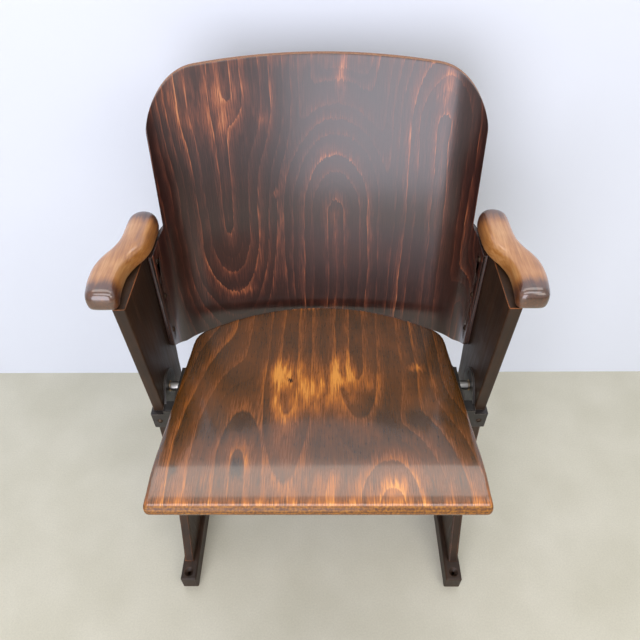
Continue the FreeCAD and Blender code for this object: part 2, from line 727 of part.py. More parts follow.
def seat_arm():
    """Right seat arm: a flange under the seat, a web, a boss for the pin and a stop tail."""
    x0 = SEAT_ARM_X
    x1 = SEAT_ARM_X + SEAT_ARM_T
    flange_x = x1 - SEAT_ARM_FLANGE_W
    top_front = seat_underside(SEAT_ARM_FRONT_Y)
    top_rear = seat_underside(SEAT_ARM_REAR_Y)
    flange = polygon([
        (flange_x, SEAT_ARM_FRONT_Y, top_front),
        (flange_x, SEAT_ARM_REAR_Y, top_rear),
        (flange_x, SEAT_ARM_REAR_Y, top_rear - SEAT_ARM_FLANGE_T),
        (flange_x, SEAT_ARM_FRONT_Y, top_front - SEAT_ARM_FLANGE_T),
    ]).extrude(Vector(SEAT_ARM_FLANGE_W, 0, 0))
    short = edges_where(flange, lambda e: e.BoundBox.XLength < 0.01 and e.BoundBox.YLength < 0.01)
    inner = [e for e in short if e.CenterOfMass.x < x0]
    flange = flange.makeFillet(FLANGE_ROUND, inner)
    low = web_low_z()
    web = polygon([
        (x0, SEAT_ARM_FRONT_Y, top_front),
        (x0, SEAT_ARM_FRONT_Y, top_front - SEAT_ARM_DEPTH),
        (x0, PIVOT_Y - SEAT_ARM_RAMP, low),
        (x0, PIVOT_Y, low),
        (x0, PIVOT_Y, seat_underside(PIVOT_Y)),
    ]).extrude(Vector(SEAT_ARM_T, 0, 0))
    tail_end = (PIVOT_Y + TAIL_REACH, PIVOT_Z - TAIL_DROP)
    tail = lever(x0, x1, (PIVOT_Y, PIVOT_Z), SEAT_ARM_BOSS_R, tail_end, TAIL_R)
    above = polygon([
        (x0 - OVER, -FAR, seat_underside(-FAR)),
        (x0 - OVER, FAR, seat_underside(FAR)),
        (x0 - OVER, FAR, 2 * FAR),
        (x0 - OVER, -FAR, 2 * FAR),
    ]).extrude(Vector(SEAT_ARM_T + 2 * OVER, 0, 0))
    arm = fuse_all([web, tail.cut(above), flange])
    holes = [rod_x(x0 - OVER, x1 + OVER, PIVOT_Y, PIVOT_Z, SPIGOT_D / 2 + HOLE_FIT)]
    for y in SEAT_SCREW_Y:
        hole = countersunk_hole(SEAT_SCREW_HEAD_D, SEAT_SCREW_D, SEAT_SCREW_L)
        holes.append(screw_under_seat(hole, seat_screw_x(), y))
    return cut_all(arm, holes)


def screw_under_seat(shape, x, y):
    """Places a screw with its head flush in the flange and its shank up in the seat."""
    flat = FreeCAD.Rotation(Vector(1, 0, 0), 180 - SEAT_SLOPE)
    placed = shape.copy()
    drop = SEAT_ARM_FLANGE_T
    head = Vector(x, y - drop * math.sin(SLOPE), seat_underside(y) - drop * math.cos(SLOPE))
    placed.Placement = FreeCAD.Placement(head, flat)
    return placed


def seat_arm_screws():
    screw = countersunk_screw(SEAT_SCREW_HEAD_D, SEAT_SCREW_D, SEAT_SCREW_L)
    return Part.makeCompound([screw_under_seat(screw, seat_screw_x(), y) for y in SEAT_SCREW_Y])


def pivot_pin():
    """Right pivot pin: a thick middle with a spigot riveted in the arm and one in the bush."""
    arm_face = SEAT_ARM_X + SEAT_ARM_T
    shoulder = BOARD_IN - BRACKET_T - PIN_END_GAP
    middle = rod_x(arm_face, shoulder, PIVOT_Y, PIVOT_Z, PIN_D / 2)
    end = edges_where(middle, lambda e: e.BoundBox.XMin > shoulder - 0.01)
    middle = middle.makeChamfer(PIN_CHAMFER, end)
    rivet = rod_x(SEAT_ARM_X, arm_face, PIVOT_Y, PIVOT_Z, SPIGOT_D / 2)
    spigot = rod_x(shoulder, BOARD_IN + BUSH_DEPTH - SPIGOT_END_GAP, PIVOT_Y, PIVOT_Z, SPIGOT_D / 2)
    return fuse_all([middle, rivet, spigot])


def pivot_bush():
    x0 = BOARD_IN - BRACKET_T
    x1 = BOARD_IN + BUSH_DEPTH - HOLE_FIT
    bore = rod_x(x0 - OVER, x1 + OVER, PIVOT_Y, PIVOT_Z, SPIGOT_D / 2 + RUN_FIT)
    return rod_x(x0, x1, PIVOT_Y, PIVOT_Z, BUSH_D / 2).cut(bore)


def bracket_front_y():
    return knee_front_y(BRACKET_LOW_Z) - BRACKET_FRONT_T


def front_screw_hole():
    y = bracket_front_y()
    length = FRONT_SCREW_L + HOLE_FIT
    return Part.makeCylinder(
        BRACKET_SCREW_D / 2 + HOLE_FIT, length + OVER,
        Vector(BOARD_MID, y - OVER, BRACKET_LOW_Z + BRACKET_H / 2), Vector(0, 1, 0))


def hinge_bracket():
    """Right hinge bracket: an eye plate, a collar round the board's front edge and a stop lug."""
    top = BRACKET_LOW_Z + BRACKET_H
    front = bracket_front_y()
    lug_x = SEAT_ARM_X - LUG_INSET
    plate_x = BOARD_IN - BRACKET_T
    strap_x = BOARD_OUT + BRACKET_T
    collar_r = BRACKET_H / 2
    near = (front + collar_r, BRACKET_LOW_Z + collar_r)
    plate = lever(plate_x, BOARD_IN, (PIVOT_Y, PIVOT_Z), BRACKET_EYE_R, near, collar_r)
    collar = box(lug_x, strap_x, front, KNEE_Y, BRACKET_LOW_Z, top)
    strap = box(BOARD_OUT, strap_x, front, front + BRACKET_STRAP_L, BRACKET_LOW_Z, top)
    lug = box(lug_x, BOARD_IN, front, front + LUG_DEPTH, BRACKET_LOW_Z, top + LUG_ABOVE)
    round_end = edges_where(strap, lambda e: along(e, Vector(1, 0, 0)) and e.CenterOfMass.y > front + 1)
    strap = strap.makeFillet(STRAP_ROUND, round_end)
    bracket = fuse_all([plate, lug, collar, strap]).cut(board_blank())
    sharp = edges_where(bracket, lambda e: along(e, Vector(0, 0, 1)) and e.CenterOfMass.y < front + 0.01)
    bracket = bracket.makeFillet(BRACKET_ROUND, sharp)
    eye = rod_x(plate_x - OVER, BOARD_IN + OVER, PIVOT_Y, PIVOT_Z, BUSH_D / 2 + HOLE_FIT)
    holes = [eye, front_screw_hole()]
    for y, z in plate_screw_places():
        hole = countersunk_hole(BRACKET_SCREW_HEAD_D, BRACKET_SCREW_D, BRACKET_SCREW_L)
        holes.append(aimed(hole, (plate_x, y, z), Vector(1, 0, 0)))
    return cut_all(bracket, holes)


def bracket_screws():
    flush = countersunk_screw(BRACKET_SCREW_HEAD_D, BRACKET_SCREW_D, BRACKET_SCREW_L)
    plate_x = BOARD_IN - BRACKET_T
    screws = [aimed(flush, (plate_x, y, z), Vector(1, 0, 0)) for y, z in plate_screw_places()]
    long_screw = round_screw(BACK_SCREW_HEAD_D, BACK_SCREW_HEAD_H, BRACKET_SCREW_D, FRONT_SCREW_L)
    place = (BOARD_MID, bracket_front_y(), BRACKET_LOW_Z + BRACKET_H / 2)
    screws.append(aimed(long_screw, place, Vector(0, 1, 0)))
    return Part.makeCompound(screws)


def stop_buffer():
    """Rubber pad on the stop lug, on which the seat arm comes to rest."""
    front = bracket_front_y() + BUFFER_EDGE
    rear = bracket_front_y() + LUG_DEPTH - BUFFER_EDGE
    low = BRACKET_LOW_Z + BRACKET_H + LUG_ABOVE
    x0 = SEAT_ARM_X - LUG_INSET + BUFFER_EDGE
    pad = box(x0, BOARD_IN - BRACKET_T - BUFFER_EDGE, front, rear, low, low + BUFFER_T)
    return pad.makeFillet(BUFFER_ROUND, edges_where(pad, lambda e: e.BoundBox.ZMin > low + BUFFER_T - 0.01))


def write(name, shape):
    placed = shape.copy()
    placed.translate(Vector(0, -ORIGIN_Y, 0))
    placed.exportStep(os.path.join("parts", name + ".step"))
    print(name, len(placed.Solids), "solid", round(placed.Volume / 1000, 1), "cm3", placed.isValid())


def write_pair(name, shape):
    """Writes the right piece and its mirror image on the left."""
    write(name + "_right", shape)
    write(name + "_left", shape.mirror(STANDARD, Vector(1, 0, 0)))


os.makedirs("parts", exist_ok=True)
write_pair("side_board", side_board())
write_pair("foot_runner", foot_runner())
write_pair("foot_screws", foot_screws())
write_pair("armrest", armrest())
write_pair("armrest_dowels", armrest_dowels())
write("backrest_shell", backrest_shell())
write_pair("backrest_screws", back_screws())
write_pair("hinge_bracket", hinge_bracket())
write_pair("hinge_bracket_screws", bracket_screws())
write_pair("pivot_bush", pivot_bush())
write_pair("stop_buffer", stop_buffer())
write("seat_shell", seat_shell())
write_pair("seat_arm", seat_arm())
write_pair("seat_arm_screws", seat_arm_screws())
write_pair("pivot_pin", pivot_pin())
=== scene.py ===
# %% [markdown]
# # A tip up auditorium seat in stained beech and moulded plywood
#
# The real seat has two slim side boards on foot runners, a plywood back that wraps round between
# them, a plywood seat that tips up on two pivot pins, and two S shaped armrests. The CAD model
# gives every piece its size and place. This script gives them what the eye sees: softened edges,
# veneer with its grain, worn varnish, cast iron and steel, a camera and soft studio light.

# %% Load the CAD frame
import bpy
import math
from functools import partial
from mathutils import Matrix, Vector


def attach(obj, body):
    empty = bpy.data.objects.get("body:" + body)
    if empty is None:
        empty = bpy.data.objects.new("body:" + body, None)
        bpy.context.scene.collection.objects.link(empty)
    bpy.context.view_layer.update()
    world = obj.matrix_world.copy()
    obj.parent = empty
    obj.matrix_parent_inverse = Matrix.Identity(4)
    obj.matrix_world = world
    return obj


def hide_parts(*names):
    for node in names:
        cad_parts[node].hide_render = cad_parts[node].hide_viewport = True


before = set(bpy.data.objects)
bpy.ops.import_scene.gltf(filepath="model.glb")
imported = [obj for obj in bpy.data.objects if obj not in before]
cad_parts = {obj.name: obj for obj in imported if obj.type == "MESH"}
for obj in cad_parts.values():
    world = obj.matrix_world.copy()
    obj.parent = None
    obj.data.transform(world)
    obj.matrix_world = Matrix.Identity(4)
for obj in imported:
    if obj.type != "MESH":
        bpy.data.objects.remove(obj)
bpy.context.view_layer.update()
MM = 0.001
SIDES = ("left", "right")

# %% [markdown]
# ## The camera
#
# The photograph looks down on the seat from in front of it. Its place and lens were fitted to
# points on the boards, the runners and the seat's front corners, with a usual seat height
# assumed, so they are written here as plain numbers: a point in metres, three angles in degrees
# and a focal length. A camera looks along its own -Z, so its matrix is built from the direction
# that it looks in and the one that is up in the picture.

# %% Camera
CAMERA_PLACE = Vector((0.0126, -0.5622, 1.1108))
CAMERA_DOWN = math.radians(45.79)
CAMERA_TURN = math.radians(0.97)
CAMERA_ROLL = math.radians(-0.92)
FOCAL_PIXELS = 565.3
PICTURE_PIXELS = 640
SENSOR_MM = 36

forward = Vector((0, math.cos(CAMERA_DOWN), -math.sin(CAMERA_DOWN)))
upward = Vector((0, math.sin(CAMERA_DOWN), math.cos(CAMERA_DOWN)))
turn = Matrix.Rotation(CAMERA_TURN, 3, "Z")
forward, upward = turn @ forward, turn @ upward
sideways = forward.cross(upward)
right = math.cos(CAMERA_ROLL) * sideways + math.sin(CAMERA_ROLL) * upward
above = -math.sin(CAMERA_ROLL) * sideways + math.cos(CAMERA_ROLL) * upward
axes = Matrix((right, above, -forward)).transposed()

camera_data = bpy.data.cameras.new("photo_camera")
camera_data.sensor_width = SENSOR_MM
camera_data.lens = FOCAL_PIXELS * SENSOR_MM / PICTURE_PIXELS
camera = bpy.data.objects.new("photo_camera", camera_data)
bpy.context.scene.collection.objects.link(camera)
camera.matrix_world = Matrix.Translation(CAMERA_PLACE) @ axes.to_4x4()
bpy.context.scene.camera = camera
print("lens:", round(camera_data.lens, 2), "mm")

# %% [markdown]
# ## Helpers for materials
#
# A colour given here is an sRGB value, but a shader works with linear light, so one function
# turns the one into the other. Another adds a shader node, sets it up and links it, so that each
# material below reads as a short list of steps. Two more write out the inputs that noises and
# ranges always need. Constants go straight on the sockets of the Principled shader.

# %% Colour and node helpers
def colour(code):
    """A colour written as sRGB hex, as linear red, green, blue and alpha."""
    parts = [int(code[i:i + 2], 16) / 255 for i in (1, 3, 5)]
    linear = [c / 12.92 if c <= 0.04045 else ((c + 0.055) / 1.055) ** 2.4 for c in parts]
    return (*linear, 1.0)


def tinted(stops):
    """Stops of a colour ramp, from positions and sRGB hex."""
    return [(where, colour(code)) for where, code in stops]


def add_node(owner, kind, inputs=(), stops=(), **settings):
    """Adds a shader node. Inputs go by name or in order, as values or as sockets to link.

    The owner is a material or a world, and stops are the positions and colours of a ramp.
    """
    tree = owner.node_tree
    made = tree.nodes.new("ShaderNode" + kind)
    for name, value in settings.items():
        setattr(made, name, value)
    if stops:
        ends = (stops[0], stops[-1])
        for element, (where, tint) in zip(made.color_ramp.elements, ends):
            element.position, element.color = where, tint
        for where, tint in stops[1:-1]:
            made.color_ramp.elements.new(where).color = tint
    for name, value in inputs.items() if isinstance(inputs, dict) else enumerate(inputs):
        socket = made.inputs[name]
        if isinstance(value, bpy.types.NodeSocket):
            tree.links.new(value, socket)
        else:
            socket.default_value = value
    return made


def sized(place, size_mm, detail):
    """Inputs of a noise with patches of a real size. Detail is how many finer layers it adds."""
    return {"Vector": place, "Scale": 1000 / size_mm, "Detail": detail}


def between(value, source, target=(0.0, 1.0)):
    """Inputs of a Map Range node that takes a value from one range to another."""
    return {"Value": value, "From Min": source[0], "From Max": source[1],
            "To Min": target[0], "To Max": target[1]}


def new_material(name, **constants):
    """An empty material and its Principled shader, with constants set on the shader."""
    material = bpy.data.materials.new(name)
    material.use_nodes = True
    shader = material.node_tree.nodes["Principled BSDF"]
    for socket, value in constants.items():
        shader.inputs[socket.replace("_", " ")].default_value = value
    return material, shader


print("helpers ready, white is", colour("#ffffff"))

# %% [markdown]
# ## The floor and the wall
#
# A pale concrete floor carries the seat, and a white wall stands behind it, as in the photograph.
# Smoothed concrete is dull and slightly cloudy, with a fine grit. The wall has one face only: seen
# from behind it is clear, so that it never hides the seat.

# %% Floor and wall
FLOOR_HALF = 5.0
WALL_Y = 0.335
WALL_HEIGHT = 1.35
FLOOR_CLOUD_MM = 160
FLOOR_GRIT_MM = 3
FLOOR_STOPS = [(0.3, "#c9c6b2"), (0.7, "#d6d3c1")]
GRIT_RANGES = (0.3, 0.7), (0.94, 1.03)


def stage_plane(name, width, length, place, tilt):
    """A plane of the given size, marked as stage, with its size and place in its mesh."""
    bpy.ops.object.select_all(action="DESELECT")
    bpy.ops.mesh.primitive_plane_add(size=1, location=place, rotation=(tilt, 0, 0))
    plane = bpy.context.object
    plane.name = name
    plane.scale = (width, length, 1)
    bpy.ops.object.transform_apply(location=True, rotation=True, scale=True)
    return plane


# Smoothed concrete: dull, pale and faintly cloudy
concrete, shader = new_material("polished_concrete", Roughness=0.55)
place = add_node(concrete, "TexCoord").outputs["Object"]
clouds = add_node(concrete, "TexNoise", sized(place, FLOOR_CLOUD_MM, 4)).outputs["Fac"]
grit = add_node(concrete, "TexNoise", sized(place, FLOOR_GRIT_MM, 2)).outputs["Fac"]
tone = add_node(concrete, "ValToRGB", (clouds,), tinted(FLOOR_STOPS)).outputs["Color"]
speck = add_node(concrete, "MapRange", between(grit, *GRIT_RANGES)).outputs["Result"]
floor_colour = add_node(concrete, "VectorMath", {0: tone, "Scale": speck}, operation="SCALE")
concrete.node_tree.links.new(floor_colour.outputs["Vector"], shader.inputs["Base Color"])

floor = stage_plane("floor", 2 * FLOOR_HALF, 2 * FLOOR_HALF, (0, 0, 0), 0)
floor.data.materials.append(concrete)

# White plaster: quite matt, and clear from behind
plaster, shader = new_material("white_plaster", Roughness=0.9, Base_Color=colour("#e6ecf6"))
clear = add_node(plaster, "BsdfTransparent").outputs["BSDF"]
behind = add_node(plaster, "NewGeometry").outputs["Backfacing"]
one_sided = add_node(plaster, "MixShader", (behind, shader.outputs["BSDF"], clear))
surface = plaster.node_tree.nodes["Material Output"].inputs["Surface"]
plaster.node_tree.links.new(one_sided.outputs["Shader"], surface)

wall_middle = (0, WALL_Y, WALL_HEIGHT / 2)
wall = stage_plane("wall", 2 * FLOOR_HALF, WALL_HEIGHT, wall_middle, math.radians(90))
wall.data.materials.append(plaster)
print("floor:", tuple(floor.dimensions), "wall:", tuple(wall.dimensions))

# %% [markdown]
# ## The light
#
# The light is plain and soft: large lamps overhead like a bright ceiling, a tall one in front on
# the left like a window, whose broad reflection gives the varnish its sheen, and a weak one from
# the room on the right. The world adds little light. Where the camera, a reflection or glass
# looks at it, it is drawn brighter, as a pale background.

# %% Lamps and world
def soft_lamp(name, place, target, size, watts, tint):
    """A rectangular area lamp that faces a point."""
    lamp = bpy.data.lights.new(name, "AREA")
    lamp.shape = "RECTANGLE"
    lamp.size, lamp.size_y = size
    lamp.energy = watts
    lamp.color = colour(tint)[:3]
    body = bpy.data.objects.new(name, lamp)
    bpy.context.scene.collection.objects.link(body)
    aim = (Vector(target) - Vector(place)).to_track_quat("-Z", "Y")
    body.matrix_world = Matrix.Translation(place) @ aim.to_matrix().to_4x4()


soft_lamp("ceiling", (0.0, 0.75, 2.5), (0, 0.3, 0.0), (3.0, 1.3), 30, "#fffaf6")
soft_lamp("skylight", (0.0, -1.1, 2.5), (0, -0.3, 0.3), (2.8, 0.9), 26, "#fdfbff")
soft_lamp("window", (-0.72, -2.4, 1.1), (-0.1, 0.1, 0.6), (1.95, 2.1), 53, "#efeefa")
soft_lamp("room", (1.6, -1.6, 1.9), (0.3, 0.3, 0.4), (1.2, 1.0), 12, "#fff6ec")

WORLD_LIGHT = 0.24
WORLD_SEEN = 0.9
world = bpy.data.worlds.new("studio")
world.use_nodes = True
background = world.node_tree.nodes["Background"]
background.inputs["Color"].default_value = colour("#e4e5e8")
path = add_node(world, "LightPath")
seen = path.outputs["Is Camera Ray"]
for ray in ("Is Glossy Ray", "Is Transmission Ray"):
    seen = add_node(world, "Math", (seen, path.outputs[ray]), operation="MAXIMUM").outputs[0]
strength = add_node(world, "MapRange", between(seen, (0.0, 1.0), (WORLD_LIGHT, WORLD_SEEN)))
world.node_tree.links.new(strength.outputs["Result"], background.inputs["Strength"])
bpy.context.scene.world = world
bpy.context.scene.view_settings.view_transform = "Standard"
print("lamps:", len(bpy.data.lights), "world:", WORLD_LIGHT, "seen as", WORLD_SEEN)

# %% [markdown]
# ## Veneer grain
#
# Beech veneer is peeled or sliced through the year rings, so the rings show as nested arches,
# called cathedrals, with long straight lines beside them. Each group of arches here is the
# distance from a centre that is stretched along the grain on one side only: lines of equal
# distance then close over the centre on that side and run straight on the other. The nearest
# group wins at each point, and a little noise makes the lines wander as real ones do. The
# distance, cut into rings, gives each ring a bright edge and a dark body.

# %% Grain functions
# Sizes across the grain. Real fibres and pores are finer, but would not show in the picture.
RAG_MM = 2.6
FIBRE_MM = 1.3
PORE_MM = 1.0
FADE_MM = 80
CLUMP_MM = 16
# How far the flames of a worn spot reach along the grain
FLAME_MM = 34
# How much each noise is squeezed along the grain, so that its patches are drawn out there
SWAY_SQUEEZE = 0.45
RAG_SQUEEZE = 0.1
FIBRE_SQUEEZE = 0.04
CLUMP_SQUEEZE = 0.3
PORE_SQUEEZE = 0.09
# A noise stays near its middle, so these ranges spread its inner part over what is wanted
STREAK_RANGES = (0.36, 0.64), (0.4, 1.2)
FADE_RANGES = (0.36, 0.6), (0.45, 1.0)
CLUMP_RANGES = (0.35, 0.62), (0.25, 1.3)
PORE_RANGE = (0.6, 0.72)
# Ring lines differ in strength: weak ones are the most common, and none is quite absent
RING_POWER = 1.5
RING_LEAST = 0.15
RING_PROFILE = (
    (0.0, 0.0), (0.05, 1.0), (0.14, 0.82), (0.3, 0.48), (0.55, 0.26), (0.8, 0.1), (1.0, 0.0))
MARK_STREAK_GAIN, MARK_STREAK_BASE = 0.6, 0.5


def arches(material, along, across, centre, steep, facing, start):
    """Distance field of one group of nested arches, in metres.

    The centre is in millimetres, steep is how much the tips crowd together, facing is +1 for tips
    that point along the grain and -1 for tips that point back, and start is the innermost ring's
    size in millimetres.
    """
    node = partial(add_node, material)
    side = node("Math", (across, centre[0] * MM), operation="SUBTRACT").outputs[0]
    rise = node("Math", (along, centre[1] * MM), operation="SUBTRACT").outputs[0]
    rise = node("Math", (rise, facing * steep), operation="MULTIPLY").outputs[0]
    rise = node("Math", (rise, 0.0), operation="MAXIMUM").outputs[0]
    both = node("CombineXYZ", (side, rise)).outputs["Vector"]
    size = node("VectorMath", (both,), operation="LENGTH").outputs["Value"]
    return node("Math", (size, start * MM), operation="ADD").outputs[0]


def spots(material, across, along, marks):
    """Sum of soft oval marks, each given as middle, half sizes in millimetres and gain."""
    node = partial(add_node, material)
    place = node("CombineXYZ", (across, along)).outputs["Vector"]
    total = 0.0
    for x, y, half_x, half_y, gain in marks:
        inside = node("Mapping", {
            "Vector": place, "Scale": (1 / (half_x * MM), 1 / (half_y * MM), 1),
            "Location": (-x / half_x, -y / half_y, 0)}).outputs["Vector"]
        away = node("VectorMath", (inside,), operation="LENGTH").outputs["Value"]
        mark = node("MapRange", between(away, (1.0, 0.0), (0.0, gain)),
                    interpolation_type="SMOOTHSTEP").outputs["Result"]
        total = node("Math", (mark, total), operation="ADD").outputs[0]
    return total


def veneer(material, place, groups, marks, look):
    """Amount of light wood in stained veneer, and its fibres. Place is across, then along."""
    node = partial(add_node, material)

    # The field of arches, which sways across the grain and is ragged along it
    swaying = node("Mapping", {"Vector": place, "Scale": (1, SWAY_SQUEEZE, 1)}).outputs["Vector"]
    sway = node("TexNoise", sized(swaying, look["sway_mm"], 4)).outputs["Fac"]
    sway = node("Math", (sway, 0.5), operation="SUBTRACT").outputs[0]
    ragged = node("Mapping", {"Vector": place, "Scale": (1, RAG_SQUEEZE, 1)}).outputs["Vector"]
    rag = node("TexNoise", sized(ragged, RAG_MM, 3)).outputs["Fac"]
    rag = node("Math", (rag, 0.5), operation="SUBTRACT").outputs[0]
    split = node("SeparateXYZ", (place,))
    across = node("Math", (sway, look["sway_reach_mm"] * MM, split.outputs["X"]),
                  operation="MULTIPLY_ADD").outputs[0]
    along = node("Math", (rag, look["rag_reach_mm"] * MM, split.outputs["Y"]),
                 operation="MULTIPLY_ADD").outputs[0]
    fields = [arches(material, along, across, *group) for group in groups]
    field = fields[0]
    for other in fields[1:]:
        field = node("Math", (field, other, look["merge_mm"] * MM),
                     operation="SMOOTH_MIN").outputs[0]

    # The field cut into rings, which crowd together in places and differ in strength
    slow = node("Math", (field, 1000 / look["band_mm"]), operation="MULTIPLY").outputs[0]
    slow = node("TexNoise", {"W": slow, "Scale": 1.0, "Detail": 2.0},
                noise_dimensions="1D").outputs["Fac"]
    turns = node("Math", (field, look["ring_mm"] * MM), operation="DIVIDE").outputs[0]
    turns = node("Math", (slow, look["ring_crowding"], turns),
                 operation="MULTIPLY_ADD").outputs[0]
    number = node("Math", (turns,), operation="FLOOR").outputs[0]
    phase = node("Math", (turns,), operation="FRACT").outputs[0]
    bold = node("TexWhiteNoise", {"W": number}, noise_dimensions="1D").outputs["Value"]
    bold = node("Math", (bold, RING_POWER), operation="POWER").outputs[0]
    bold = node("Math", (bold, 1 - RING_LEAST, RING_LEAST), operation="MULTIPLY_ADD").outputs[0]
    profile = [(where, (value, value, value, 1)) for where, value in RING_PROFILE]
    bright = node("ValToRGB", (phase,), profile).outputs["Color"]
    line = node("Math", (bright, bold), operation="MULTIPLY").outputs[0]

    # The ring lines, streaked by the fibres and faded in places
    fibrous = node("Mapping", {"Vector": place, "Scale": (1, FIBRE_SQUEEZE, 1)}).outputs["Vector"]
    fibre = node("TexNoise", sized(fibrous, FIBRE_MM, 4)).outputs["Fac"]
    streak = node("MapRange", between(fibre, *STREAK_RANGES)).outputs["Result"]
    fade = node("TexNoise", sized(swaying, FADE_MM, 2)).outputs["Fac"]
    fade = node("MapRange", between(fade, *FADE_RANGES)).outputs["Result"]
    uneven = node("Math", (streak, fade), operation="MULTIPLY").outputs[0]
    line = node("Math", (line, uneven), operation="MULTIPLY").outputs[0]

    # Lines, fibres, slow bands and patches, each added to the stain with its own gain
    patch = node("TexNoise", sized(place, look["patch_mm"], 3)).outputs["Fac"]
    light = look["base"]
    for value, middle, gain in (
            (line, 0.0, look["line_gain"]), (fibre, 0.5, look["fibre_gain"]),
            (slow, 0.5, look["band_gain"]), (patch, 0.5, look["patch_gain"])):
        part = node("Math", (value, middle), operation="SUBTRACT").outputs[0]
        part = node("Math", (part, gain), operation="MULTIPLY").outputs[0]
        light = node("Math", (part, light), operation="ADD").outputs[0]

    # Worn spots, some of them partly painted sheen, torn into flames along the grain and broken
    # into clumps
    flame = node("Math", (rag, FLAME_MM * MM, split.outputs["Y"]),
                 operation="MULTIPLY_ADD").outputs[0]
    wear = spots(material, across, flame, marks)
    clumpy = node("Mapping", {"Vector": place, "Scale": (1, CLUMP_SQUEEZE, 1)}).outputs["Vector"]
    clumps = node("TexNoise", sized(clumpy, CLUMP_MM, 4)).outputs["Fac"]
    clumps = node("MapRange", between(clumps, *CLUMP_RANGES)).outputs["Result"]
    wear = node("Math", (wear, clumps), operation="MULTIPLY").outputs[0]
    streaked = node("Math", (streak, MARK_STREAK_GAIN, MARK_STREAK_BASE),
                    operation="MULTIPLY_ADD").outputs[0]
    wear = node("Math", (wear, streaked), operation="MULTIPLY").outputs[0]
    light = node("Math", (light, wear), operation="ADD").outputs[0]

    # Pores, short dark dashes along the grain
    porous = node("Mapping", {"Vector": place, "Scale": (1, PORE_SQUEEZE, 1)}).outputs["Vector"]
    pores = node("TexNoise", sized(porous, PORE_MM, 1)).outputs["Fac"]
    pores = node("MapRange", between(pores, PORE_RANGE, (0.0, look["pore_gain"])))
    light = node("Math", (light, pores.outputs["Result"]), operation="SUBTRACT").outputs[0]
    return light, fibre


print("ring profile:", len(RING_PROFILE), "stops")

# %% [markdown]
# ## Helpers for the pieces
#
# A piece that replaces a CAD node starts as a copy of its mesh, with the doubled points of its
# facets merged, so that it sits where the node sits. Its shape is then refined by modifiers,
# which are applied, and its veneer gets its own map: the flat sheet's coordinates, as if the
# moulded plywood were unrolled, and the depth in the sheet, which shows the plies on its edges.
# The hidden skin of a sheet is another veneer, so its map is shifted along, to where the grain
# runs straight.

# %% Piece helpers
# The frame's origin is this far back in the drawing, whose millimetres the shapes below use
ORIGIN_Y = 180.34
REAR_SKIN_SHIFT = 900.0
MERGE_DISTANCE = 0.00001


def select(piece):
    """Makes a piece the only selected one, and the active one."""
    bpy.ops.object.select_all(action="DESELECT")
    piece.select_set(True)
    bpy.context.view_layer.objects.active = piece


def copy_of(node, name):
    """A new piece with a copy of a CAD node's mesh, its doubled points merged."""
    piece = bpy.data.objects.new(name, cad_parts[node].data.copy())
    bpy.context.scene.collection.objects.link(piece)
    piece.data.name = name
    piece.data.materials.clear()
    select(piece)
    bpy.ops.object.mode_set(mode="EDIT")
    bpy.ops.mesh.select_all(action="SELECT")
    bpy.ops.mesh.remove_doubles(threshold=MERGE_DISTANCE)
    bpy.ops.object.mode_set(mode="OBJECT")
    return piece


def modify(piece, kind, **settings):
    """Adds a modifier and applies it."""
    select(piece)
    modifier = piece.modifiers.new(kind.lower(), kind)
    for name, value in settings.items():
        setattr(modifier, name, value)
    bpy.ops.object.modifier_apply(modifier=modifier.name)


def smooth(piece, degrees):
    """Shades a piece smooth, except where faces meet at more than this angle."""
    select(piece)
    bpy.ops.object.shade_smooth_by_angle(angle=math.radians(degrees))


def mirrored(piece, name):
    """A copy of a piece on the other side of the middle, with its own mesh."""
    twin = bpy.data.objects.new(name, piece.data.copy())
    bpy.context.scene.collection.objects.link(twin)
    twin.data.name = name
    select(twin)
    bpy.ops.object.mode_set(mode="EDIT")
    bpy.ops.mesh.select_all(action="SELECT")
    bpy.ops.transform.mirror(constraint_axis=(True, False, False), center_override=(0, 0, 0))
    bpy.ops.mesh.normals_make_consistent(inside=False)
    bpy.ops.object.mode_set(mode="OBJECT")
    return twin


def map_sheet(piece, flatten):
    """Gives a piece the map of its flat sheet, and the depth in it as an attribute, 0 to 1."""
    mesh = piece.data
    flat = [flatten(*(vertex.co / MM)) for vertex in mesh.vertices]
    for old in list(mesh.uv_layers):
        mesh.uv_layers.remove(old)
    layer = mesh.uv_layers.new(name="sheet")
    for loop in mesh.loops:
        across, along, depth = flat[loop.vertex_index]
        layer.data[loop.index].uv = (across * MM, along * MM)
    depths = mesh.attributes.new("sheet_depth", "FLOAT", "POINT")
    for vertex in mesh.vertices:
        depths.data[vertex.index].value = flat[vertex.index][2]


print("piece helpers ready")

# %% [markdown]
# ## The moulded back
#
# The back is one sheet of plywood 8.5 mm thick: a wide arc in the middle, two bends and two
# flanks. Its rims are rounded over by hand sanding, which a Bevel modifier does on every sharp
# edge. Unrolled, a point lies so far across from the middle and so far up along the tilt of the
# back. The ears' lower corners are worn rounder than new ones, so the points of their fillets
# move away from the sharp corner that was there before the fillet.

# %% Moulded back
BACK_T = 8.5
BACK_RADIUS = 530.0
BEND_RADIUS = 82.0
BACK_HALF = 238.8
BACK_TILT = math.radians(11.0)
BACK_FOOT_Y = 345.0
BACK_FOOT_Z = 430.0
BACK_ARC = BACK_RADIUS - BACK_T / 2
BACK_BEND = BEND_RADIUS - BACK_T / 2
FLANK_X = BACK_HALF - BACK_T / 2
BEND_X = FLANK_X - BEND_RADIUS
BEND_TURN = math.asin(BEND_X / (BACK_RADIUS - BEND_RADIUS))
BEND_Y = (BACK_RADIUS - BEND_RADIUS) * math.cos(BEND_TURN) - BACK_RADIUS
RIM_ROUND = 2.0
RIM_ANGLE = math.radians(60)
EAR_CORNER = (217.5, 436.0)
EAR_FILLET_REACH = 5.6
EAR_ROUNDER = 2.0


